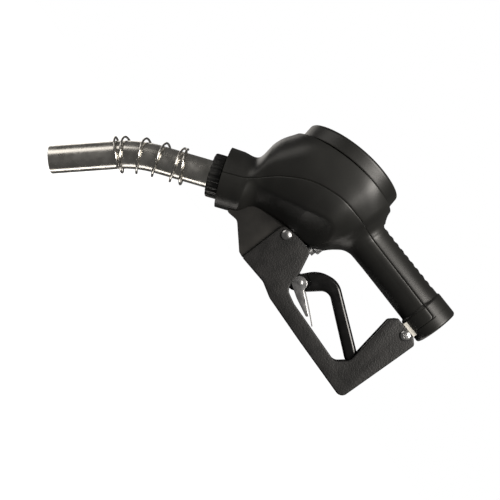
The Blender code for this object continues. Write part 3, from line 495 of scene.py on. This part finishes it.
def lowerCover():
    # columns run from the far seam under the belly to the near seam, where the edge stands a little
    # proud of the upper cover
    rows, low = sections[beforeTongueEnd], seamAngle[beforeTongueEnd]
    full = np.concatenate([spread[:-1] / 2, 0.5 + spread / 2])
    angle = low[:, None] + (-math.pi - 2 * low)[:, None] * full
    inset = edgeInset(skinPoint(rows, angle), bodyShape["lip"])
    lip, toSeam = bodyShape["lip"], 2 * np.abs(full - 0.5)
    toEnd = np.clip(bodyShape["tongueEnd"] - rows[:, 2], 0, lip)[:, None]
    inset = np.maximum(inset, lip - np.sqrt(lip ** 2 - (lip - toEnd) ** 2))
    inset = inset + bodyShape["halfGap"] * toSeam ** 40
    inset = inset - bodyShape["proud"] * np.clip((toSeam - 0.8) / 0.15, 0, 1)
    piece = shell("lowerCover", skinPoint(rows, angle, inset), skinPoint(rows, angle, bodyShape["wall"]),
                  finishes["vinyl"])
    cut(piece, cutterBlock(bodyShape["webSlot"], bodyShape["webHalf"]),
        cutterBlock(bodyShape["lugSlot"], bodyShape["lugHalf"]))
    return place(piece, "nozzle", "black_vinyl", "lower_cover")


def hoseEndRing():
    # the last of the ring, all the way round: flush with the upper cover, lipped where it meets the lower
    x = np.linspace(bodyShape["tongueEnd"], bodyShape["end"], 40)
    rows = np.repeat(np.array(bodyShape["sections"][-1])[None], len(x), 0)
    rows[:, 0] = rows[:, 2] = x
    # upper picks out the columns above the seam
    sides = 160
    angle = np.broadcast_to(np.arange(sides) * 2 * math.pi / sides, (len(x), sides))
    upper = 0.12 < np.abs((angle + math.pi / 2 + math.pi) % (2 * math.pi) - math.pi) - math.pi / 2
    fromEnd = np.clip(x - bodyShape["tongueEnd"], 0, bodyShape["lip"])[:, None]
    lip = bodyShape["lip"] - np.sqrt(bodyShape["lip"] ** 2 - (bodyShape["lip"] - fromEnd) ** 2)
    outer = skinPoint(rows, angle, np.where(upper, 0.0, lip))
    inner = skinPoint(rows, angle, bodyShape["ringWall"])
    inner[:, :, 0] = x[:, None]
    loop = np.concatenate([outer, inner[::-1]])
    piece = newPiece("hoseEndRing", loop, gridFaces(len(loop), sides, True, True), finishes["vinyl"])
    cut(piece, cutterBlock(bodyShape["ringSlot"], bodyShape["lugHalf"]))
    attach(piece, "nozzle")
    return piece


def topCap():
    # rings round the cap: (half length - inset) |cos|^p by (half width - inset) |sin|^p, riding on the
    # arched base
    s = capShape
    profile = roundCorners([(30, 3, 0), (4, 3, 0.5), (4, 0, 0.5), (0, 0, 0.7), (0.25, s["side"], 2.6),
                            (12, s["side"] + 0.5, 20), (26, s["side"] + s["crown"] * 0.85, 30),
                            (41.3, s["side"] + s["crown"], 0)], 0.6, closed=False)
    sides = 200
    angle = np.arange(sides) * 2 * math.pi / sides
    c, n = np.cos(angle), np.sin(angle)
    inset, level = profile[:, :1], profile[:, 1:]
    along = (s["halfLength"] - inset) * np.sign(c) * np.abs(c) ** s["outlinePower"]
    side = (s["halfWidth"] - inset) * np.sign(n) * np.abs(n) ** s["outlinePower"]
    height = s["arch"] * (1 - (along / s["halfLength"]) ** 2) + level
    flat = np.array(s["centre"]) + along[..., None] * capAlong + height[..., None] * capUp
    points = np.stack([flat[..., 0], side, flat[..., 1]], -1)
    last = (len(profile) - 1) * sides
    piece = newPiece("topCap", points, gridFaces(len(profile), sides, False, True), finishes["vinyl"],
                     [np.arange(sides), last + np.arange(sides)])
    return place(piece, "nozzle", "black_vinyl", "top_cap")


upperCover()
lowerCover()
hoseEndRing()
topCap()
print("stage: covers and cap made")


spoutShape = {
    "nose": (-207.3, -61.8), "fall": math.radians(35.5), "bend": math.radians(20.3), "bendRadius": 100.0,
    "first": 57.1, "last": 56.7, "insert": 14.0, "radius": 11.9, "wall": 1.2, "tipRound": 0.6,
    "holeFromTip": 14.5, "hole": 2.0,
    "coilRadius": 15.0, "wire": 1.0, "coilStart": 33.9, "coilPitch": 15.9, "coilTurns": 3.4, "coilLean": 1.4,
    "nutRadius": 18.8, "nutBore": 12.8, "nutLength": 11.0, "nutRibs": 20, "ribDepth": 0.042,
    "ribsFade": (15.5, 2.0),
}
spoutEnd = spoutShape["first"] + spoutShape["bendRadius"] * spoutShape["bend"] + spoutShape["last"]
noseWay = np.array((-math.cos(spoutShape["fall"]), 0, -math.sin(spoutShape["fall"])))
nosePoint = np.array((spoutShape["nose"][0], 0, spoutShape["nose"][1]))


def spoutFrames(distance):
    # straight, then an arc, then straight: past the first straight the way along turns by
    # distance / bend radius, up to the bend's angle
    s = spoutShape
    distance = np.asarray(distance, float)
    turned = np.clip((distance - s["first"]) / s["bendRadius"], 0, s["bend"])
    heading = s["fall"] + turned
    along = np.stack([-np.cos(heading), 0 * heading, -np.sin(heading)], -1)
    across = np.stack([along[:, 2], 0 * heading, -along[:, 0]], -1)
    firstAcross = np.array((noseWay[2], 0, -noseWay[0]))
    straight = np.minimum(distance, s["first"])[:, None] * noseWay
    arc = s["bendRadius"] * (across - firstAcross)
    past = np.maximum(distance - s["first"] - s["bendRadius"] * s["bend"], 0)[:, None] * along
    return nosePoint + straight + arc + past, along, across


def spoutTube():
    s = spoutShape
    # rings of (distance, radius): out along the outside, round the tip's lip and back along the bore
    tip, lipStart = np.linspace(0, math.pi, 9)[1:-1], spoutEnd - s["tipRound"]
    rings, sides = 130, 128
    outside = np.linspace(-s["insert"], lipStart, rings)
    distance = np.concatenate([outside, lipStart + s["tipRound"] * np.sin(tip), outside[::-1]])
    lip = s["radius"] - s["wall"] / 2 + s["wall"] / 2 * np.cos(tip)
    radius = np.concatenate([np.full(rings, s["radius"]), lip, np.full(rings, s["radius"] - s["wall"])])
    centre, _, across = spoutFrames(distance)
    angle = np.arange(sides) * 2 * math.pi / sides
    points = centre[:, None] + radius[:, None, None] * (np.cos(angle)[:, None] * across[:, None]
                                                        + np.sin(angle)[:, None] * np.array((0, 1.0, 0)))
    piece = newPiece("spoutTube", points, gridFaces(len(points), sides, True, True), finishes["tube"])
    holeAt, _, holeAcross = (v[0] for v in spoutFrames([spoutEnd - s["holeFromTip"]]))
    cut(piece, turnedPiece("hole", [(s["hole"], 0), (s["hole"], 8)], holeAt - 8 * holeAcross, -holeAcross,
                           finishes["tube"], 32))
    addTubeMap(piece)
    return place(piece, "nozzle", "polished_tube", "spout_tube")


def addTubeMap(piece):
    # u runs along the spout and v round it, both in metres, measured from the bend's middle
    s = spoutShape
    loops = np.zeros(len(piece.data.loops), int)
    piece.data.loops.foreach_get("vertex_index", loops)
    points = np.zeros(len(piece.data.vertices) * 3)
    piece.data.vertices.foreach_get("co", points)
    points = points.reshape(-1, 3) / mm
    steps = np.linspace(-s["insert"], spoutEnd, 400)
    centres, _, across = spoutFrames(steps)
    nearest = ((points[:, None, [0, 2]] - centres[None][..., [0, 2]]) ** 2).sum(-1).argmin(1)
    u = steps[nearest]
    height = ((points - centres[nearest]) * across[nearest]).sum(1)
    v = np.arctan2(np.abs(points[:, 1]), height) * s["radius"]
    layer = piece.data.uv_layers.new(name="alongTube")
    layer.data.foreach_set("uv", (np.stack([u, v], -1) * mm)[loops].ravel().astype(np.float32))


def anchorCoil():
    # a helix round the spout's own bent line, with one closed turn at each end
    s = spoutShape
    turn = np.linspace(0, s["coilTurns"] + 2, 300)
    closed = 2.1 * s["wire"]
    distance = (s["coilStart"] + closed * np.minimum(turn, 1)
                + s["coilPitch"] * np.clip(turn - 1, 0, s["coilTurns"])
                + closed * np.maximum(turn - 1 - s["coilTurns"], 0))
    angle = -2 * math.pi * turn
    centre, _, across = spoutFrames(distance + s["coilLean"] * np.cos(angle))
    path = centre + s["coilRadius"] * (np.cos(angle)[:, None] * across
                                       + np.sin(angle)[:, None] * np.array((0, 1.0, 0)))
    piece = wirePiece("anchorCoil", path, s["wire"] * 0.97, finishes["wire"])
    return place(piece, "nozzle", "bright_steel", "spout_spring")


def spoutNut():
    # radius less a rib depth that follows a flattened cosine round the nut, fading out on its end faces
    s = spoutShape
    top, end, bore = s["nutRadius"], s["nutLength"], s["nutBore"]
    profile = roundCorners([(bore, 0.3, 0.5), (top, 0.3, 1.3), (top, end, 1.5), (bore, end, 0.5)], 0.35)
    fade = np.clip((profile[:, :1] - s["ribsFade"][0]) / s["ribsFade"][1], 0, 1)

    def ribs(angle, distance):
        wave = np.clip(1.6 * np.cos(angle * s["nutRibs"]) + 0.35, -1, 1)
        return 1 - s["ribDepth"] * (0.5 - 0.5 * wave) * fade * np.ones_like(distance)
    piece = turnedPiece("spoutNut", profile, nosePoint, noseWay, finishes["nut"], 320, True, ribs)
    return place(piece, "nozzle", "black_nylon", "spout_nut")


spoutTube()
anchorCoil()
spoutNut()
print("stage: spout made")


guardShape = {
    "halfWidth": 11.0, "edge": 1.3, "channelHalf": 8.1,
    # outlines seen from the side are (x, z, corner radius)
    "outline": [(-144.5, -90.0, 2), (-144.5, -46.2, 6), (-133.0, -42.6, 3), (-113.5, -42.2, 5),
                (-105.0, -60.3, 6), (-101.0, -76.5, 8), (-88.0, -79.6, 12), (-31.0, -82.6, 7),
                (-23.4, -72.0, 6), (-30.6, -26.0, 3), (-26.6, -20.0, 2), (-6.5, -20.0, 2),
                (-1.0, -23.5, 3), (-1.6, -40.0, 6), (-4.2, -97.4, 6), (-60.0, -95.3, 60),
                (-104.0, -92.8, 8), (-118.0, -88.8, 8)],
    "channel": [(-160.0, -86.6, 0.5), (-117.0, -86.0, 8), (-104.0, -89.9, 8), (-60.0, -92.4, 40),
                (-7.2, -94.4, 3), (-4.2, -40.0, 1), (-4.0, -10.0, 0.5), (-160.0, -10.0, 0.5)],
    "frontScrew": (-136.3, -49.6), "rearScrew": (-12.0, -24.1), "screwHole": 2.5,
}
leverShape = {
    "pivot": (-128.5, -75.0), "halfWidth": 6.5, "edge": 3.1,
    "outline": [(-134.1, -80.6, 5.4), (-134.1, -69.4, 5.4), (-112.0, -62.4, 3), (-104.2, -60.4, 3),
                (-96.9, -46.2, 24), (-79.6, -39.0, 18), (-24.0, -64.0, 4), (-15.0, -67.0, 4.5),
                (-15.5, -76.4, 4.5), (-27.0, -74.6, 4), (-78.5, -50.3, 8), (-91.2, -68.0, 4),
                (-98.0, -74.0, 4), (-110.0, -77.6, 4)],
    # the flat sides step in here, round the clip's rivet
    "step": [(-140.0, -90.0, 1), (-140.0, -55.0, 1), (-103.0, -55.5, 1), (-92.0, -57.5, 2.5),
             (-90.5, -66.0, 2.5), (-94.0, -90.0, 1)],
    "stepDepth": 1.1, "forkHalf": 2.8, "pinHole": 2.3, "rivetHole": 2.1,
}
clipShape = {
    "pivot": (-98.8, -65.2), "halfWidth": 7.7, "wall": 0.9, "wire": 0.45,
    "outline": [(-104.2, -70.6, 5.3), (-104.2, -59.8, 5.3), (-93.4, -59.8, 5.3), (-91.6, -67.0, 5),
                (-72.4, -76.6, 1), (-73.4, -78.6, 1), (-90.0, -75.2, 9)],
    # the spring's leg runs from legStart by legRun, bowed upwards by legBow in its middle
    "legStart": (-90.5, -66.2), "legRun": (26.0, 0, -13.2), "legBow": 0.25,
    "headRadius": 2.9, "headTop": 8.05, "headRise": 0.75, "rivetShank": 1.8, "shankHalf": 7.3,
}
springShape = {
    "foot": (-115.0, -9.4), "length": 20.1, "coil": 7.2, "wire": 0.7, "turns": 5.0, "valveLift": 8.3,
}


def hole(radius, centre):
    # a cutter straight across the nozzle, its circle at (x, z)
    return turnedPiece("hole", [(radius, -20), (radius, 20)], (centre[0], 0, centre[1]), (0, 1, 0),
                       finishes["zinc"], 40)


def leverGuard():
    # a bow with rounded edges, hollowed by an upright channel that the lever swings in
    g = guardShape
    outline, channel = roundCorners(g["outline"], 0.7), roundCorners(g["channel"], 0.9)
    piece = roundedPlate("leverGuard", outline, g["halfWidth"], g["edge"], finishes["guard"])
    cut(piece, roundedPlate("channel", channel, g["channelHalf"], 0.4, finishes["guard"]),
        hole(g["screwHole"], g["frontScrew"]), hole(g["screwHole"], g["rearScrew"]))
    return place(piece, "nozzle", "black_nylon", "lever_guard")


def triggerLever():
    # a well rounded bar, forked at its pivot and thinner on both sides round the clip's rivet
    s = leverShape
    piece = roundedPlate("triggerLever", roundCorners(s["outline"], 0.7), s["halfWidth"], s["edge"],
                         finishes["lever"], steps=9)
    x, z = s["pivot"]
    fork = roundCorners([(x - 9, z - 9, 0.5), (x + 8.6, z - 9, 2), (x + 8.6, z + 14, 0.5),
                         (x - 9, z + 14, 0.5)], 0.7)
    step = roundCorners(s["step"], 0.7)
    cutters = [cutterBlock(fork, s["forkHalf"]), hole(s["pinHole"], s["pivot"]),
               hole(s["rivetHole"], clipShape["pivot"])]
    for side in (-1, 1):
        middle = side * (s["halfWidth"] - s["stepDepth"] + 5)
        cutters.append(roundedPlate("step", step, 5, 0.3, finishes["lever"], centreY=middle))
    cut(piece, *cutters)
    return place(piece, "lever", "black_casting", "lever")


def holdOpenClip():
    # a folded plate: two cheeks astride the lever, joined beyond it by the blade
    s = clipShape
    outline = roundCorners(s["outline"], 0.4)
    piece = roundedPlate("holdOpenClip", outline, s["halfWidth"], 0.3, finishes["zinc"])
    inside = roundCorners([(-120, -90, 0.5), (-120, -40, 0.5), (-81.5, -40, 0.5), (-81.5, -90, 0.5)], 0.8)
    cut(piece, roundedPlate("inside", inside, s["halfWidth"] - s["wall"], 0.1, finishes["zinc"]),
        hole(leverShape["rivetHole"], s["pivot"]))
    return place(piece, "clip", "bright_steel", "hold_open_clip")


def clipSpring():
    # one leg of wire that runs on past the clip's tip: start + run * share, bowed up by a half sine
    s = clipShape
    share = np.linspace(0, 1, 30)
    start = np.array((s["legStart"][0], 0.5 - s["halfWidth"], s["legStart"][1]))
    leg = share[:, None] * np.array(s["legRun"]) + start
    leg[:, 2] += s["legBow"] * np.sin(math.pi * share)
    piece = wirePiece("clipSpring", leg, s["wire"], finishes["dullWire"])
    return place(piece, "clip", "bright_steel", "clip_spring")


def domedHead(name, centre, side, radius, height, shank, body, node, cross=False):
    # rise = height sqrt(1 - (r / radius)^2) over a short upright rim, on a straight shank
    r = radius * np.sin(np.linspace(math.pi / 2, 0.02, 18))
    rise = 0.5 + (height - 0.5) * np.sqrt(1 - (r / radius) ** 2)
    profile = [(2.2, -shank), (2.2, 0.0), (radius - 0.2, 0.0), (radius, 0.2), *zip(r, rise)]
    reach = guardShape["halfWidth"] + 0.3
    piece = turnedPiece(name, profile, (centre[0], side * reach, centre[1]), (0, side, 0),
                        finishes["zinc"], 56)
    if cross:
        for turn in (0.35, 0.35 + math.pi / 2):
            c, n = math.cos(turn), math.sin(turn)
            bar = [(centre[0] + a * c - b * n, centre[1] + a * n + b * c, 0.3)
                   for a, b in ((-2.5, -0.55), (2.5, -0.55), (2.5, 0.55), (-2.5, 0.55))]
            cut(piece, roundedPlate("bar", roundCorners(bar, 0.3), 1.2, 0.2, finishes["zinc"],
                                    centreY=side * (reach + height + 0.1)))
    return place(piece, body, "bright_steel", node)


def rivet():
    # a peened rivet: domed heads outside the clip's two cheeks
    s = clipShape
    x, z = s["pivot"]
    a = np.linspace(0.05, math.pi / 2, 8)
    head = list(zip(s["headRadius"] * np.sin(a), s["headTop"] - s["headRise"] * (1 - np.cos(a))))
    profile = [*head, (s["rivetShank"], s["shankHalf"]), (s["rivetShank"], -s["shankHalf"]),
               *[(r, -d) for r, d in head[::-1]]]
    piece = turnedPiece("clipRivet", profile, (x, 0, z), (0, 1, 0), finishes["zinc"], 40)
    return place(piece, "lever", "bright_steel", "clip_rivet")


def mainSpring():
    # a compression spring, r = coil radius, whose rise slows to one wire a turn at each closed end
    s = springShape
    turn = np.linspace(0, s["turns"] + 2, 260)
    closed = 2.1 * s["wire"]
    pitch = (s["length"] - 2 * s["wire"] - 2 * closed) / s["turns"]
    rise = (s["wire"] + closed * np.minimum(turn, 1) + pitch * np.clip(turn - 1, 0, s["turns"])
            + closed * np.maximum(turn - 1 - s["turns"], 0))
    angle = 2 * math.pi * turn
    x, z = s["foot"]
    path = np.stack([x + s["coil"] * np.cos(angle), s["coil"] * np.sin(angle), z + rise], -1)
    piece = wirePiece("mainSpring", path, s["wire"] * 0.97, finishes["wire"], 10)
    place(piece, "nozzle", "bright_steel", "main_spring")
    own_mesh(piece)
    return piece


leverGuard()
triggerLever()
mainSpring()
holdOpenClip()
clipSpring()
rivet()
domedHead("frontScrewNear", guardShape["frontScrew"], -1, 4.5, 2.45, 7.6, "nozzle", "guard_screw_near")
domedHead("frontScrewFar", guardShape["frontScrew"], 1, 4.5, 2.45, 7.6, "nozzle", "guard_screw_far")
domedHead("rearScrew", guardShape["rearScrew"], -1, 4.4, 2.2, 22.6, "nozzle", "guard_rear_screw", cross=True)
print("stage: guard, lever and screws made")

keptNodes = {
    "casting": ["valve_body"],
    "aluminium": ["air_tube", "spout_adapter", "diaphragm_plate", "packing_nut"],
    "brass": ["check_seat", "check_poppet", "main_valve_seat", "main_poppet", "main_valve_cap"],
    "zinc": ["plate_screw_1", "plate_screw_2", "plate_screw_3", "plate_screw_4", "guard_rear_nut",
             "lever_pin", "main_stem", "shut_off_plunger"],
    "wire": ["check_spring", "diaphragm_spring"],
    "rubber": ["spout_o_ring", "diaphragm", "main_poppet_seal"],
    "spacer": ["rear_spacer"],
}
for finishName, names in keptNodes.items():
    for name in names:
        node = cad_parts[name]
        node.data.materials.clear()
        node.data.materials.append(finishes[finishName])
print("stage: kept nodes finished")


studio = {
    "target": (-145.8, 0.0, -81.1), "distance": 800.0, "azimuth": math.radians(4.0),
    "frameWidth": 417.5, "sensor": 36.0,
    "imageRight": (0.616, 0.0, 0.788), "floorLevel": -205.0, "roomLight": 0.09,
    # each light: where it stands seen from the camera, as right, up and towards the camera, in metres;
    # its width and height; and its power
    "lights": {
        "keySoftbox": ((1.05, 0.05, 1.05), (0.8, 0.8), 30),
        "topStrip": ((-0.7, 1.1, 0.5), (1.0, 0.6), 3.4),
        "lowStrip": ((0.0, -1.1, -0.35), (1.6, 0.3), 6),
        "backFill": ((-0.7, 0.7, -1.3), (1.2, 1.2), 7),
    },
}


def buildStudio():
    # the camera looks horizontally, turned by azimuth about Z, and is rolled so that imageRight runs
    # along the frame's width
    s = studio
    away = np.array((-math.sin(s["azimuth"]), math.cos(s["azimuth"]), 0))
    right = np.array(s["imageRight"])
    right = right - away * (right @ away)
    right /= np.linalg.norm(right)
    up = np.cross(right, away)
    target = np.array(s["target"]) * mm
    turn = Matrix(np.stack([right, up, -away], 1).tolist()).to_4x4()

    lens = bpy.data.cameras.new("camera")
    lens.sensor_width = s["sensor"]
    lens.lens = s["sensor"] * s["distance"] / s["frameWidth"]
    camera = bpy.data.objects.new("camera", lens)
    bpy.context.scene.collection.objects.link(camera)
    camera.matrix_world = Matrix.Translation(target - away * s["distance"] * mm) @ turn
    bpy.context.scene.camera = camera

    for name, (at, size, power) in s["lights"].items():
        lamp = bpy.data.lights.new(name, "AREA")
        lamp.shape, lamp.size, lamp.size_y, lamp.energy = "RECTANGLE", size[0], size[1], power
        lamp.color = toLinear("#fffaf3")[:3]
        light = bpy.data.objects.new(name, lamp)
        bpy.context.scene.collection.objects.link(light)
        spot = target + at[0] * right + at[1] * up - at[2] * away
        back = (spot - target) / np.linalg.norm(spot - target)
        side = np.cross(up if abs(back @ up) < 0.95 else away, back)
        side /= np.linalg.norm(side)
        light.matrix_world = Matrix.Translation(spot) @ Matrix(
            np.stack([side, np.cross(back, side), back], 1).tolist()).to_4x4()

    # the room is white to the eye, and much dimmer to what it lights and to reflections
    world = bpy.data.worlds.new("paleRoom")
    bpy.context.scene.world = world
    world.use_nodes = True
    tree = world.node_tree
    tree.nodes.clear()
    seen = addNode(tree, "ShaderNodeBackground", {"Color": toLinear("#ffffff"), "Strength": 1.0})
    room = addNode(tree, "ShaderNodeBackground",
                   {"Color": toLinear("#fffdf9"), "Strength": s["roomLight"]})
    eye = addNode(tree, "ShaderNodeLightPath").outputs["Is Camera Ray"]
    mix = addNode(tree, "ShaderNodeMixShader", links={0: eye, 1: room.outputs[0], 2: seen.outputs[0]})
    addNode(tree, "ShaderNodeOutputWorld", links={"Surface": mix.outputs[0]})

    # a pale floor under the nozzle, evenly lit like a light table, that throws nothing back on it
    reach = 6.0
    mesh = bpy.data.meshes.new("floor")
    level = s["floorLevel"] * mm
    corners = [(-reach, -reach, level), (reach, -reach, level), (reach, reach, level),
               (-reach, reach, level)]
    mesh.from_pydata(corners, [], [(0, 1, 2, 3)])
    floor = bpy.data.objects.new("floor", mesh)
    bpy.context.scene.collection.objects.link(floor)
    glow = bpy.data.materials.new("paleFloor")
    glow.use_nodes = True
    shader = glow.node_tree.nodes["Principled BSDF"]
    shader.inputs["Base Color"].default_value = toLinear("#f4f4f2")
    shader.inputs["Emission Color"].default_value = toLinear("#ffffff")
    shader.inputs["Emission Strength"].default_value = 1.0
    mesh.materials.append(glow)
    floor.visible_diffuse = floor.visible_glossy = False
    bpy.context.scene.view_settings.view_transform = "Standard"


buildStudio()
print("stage: studio made")

bpy.context.view_layer.update()
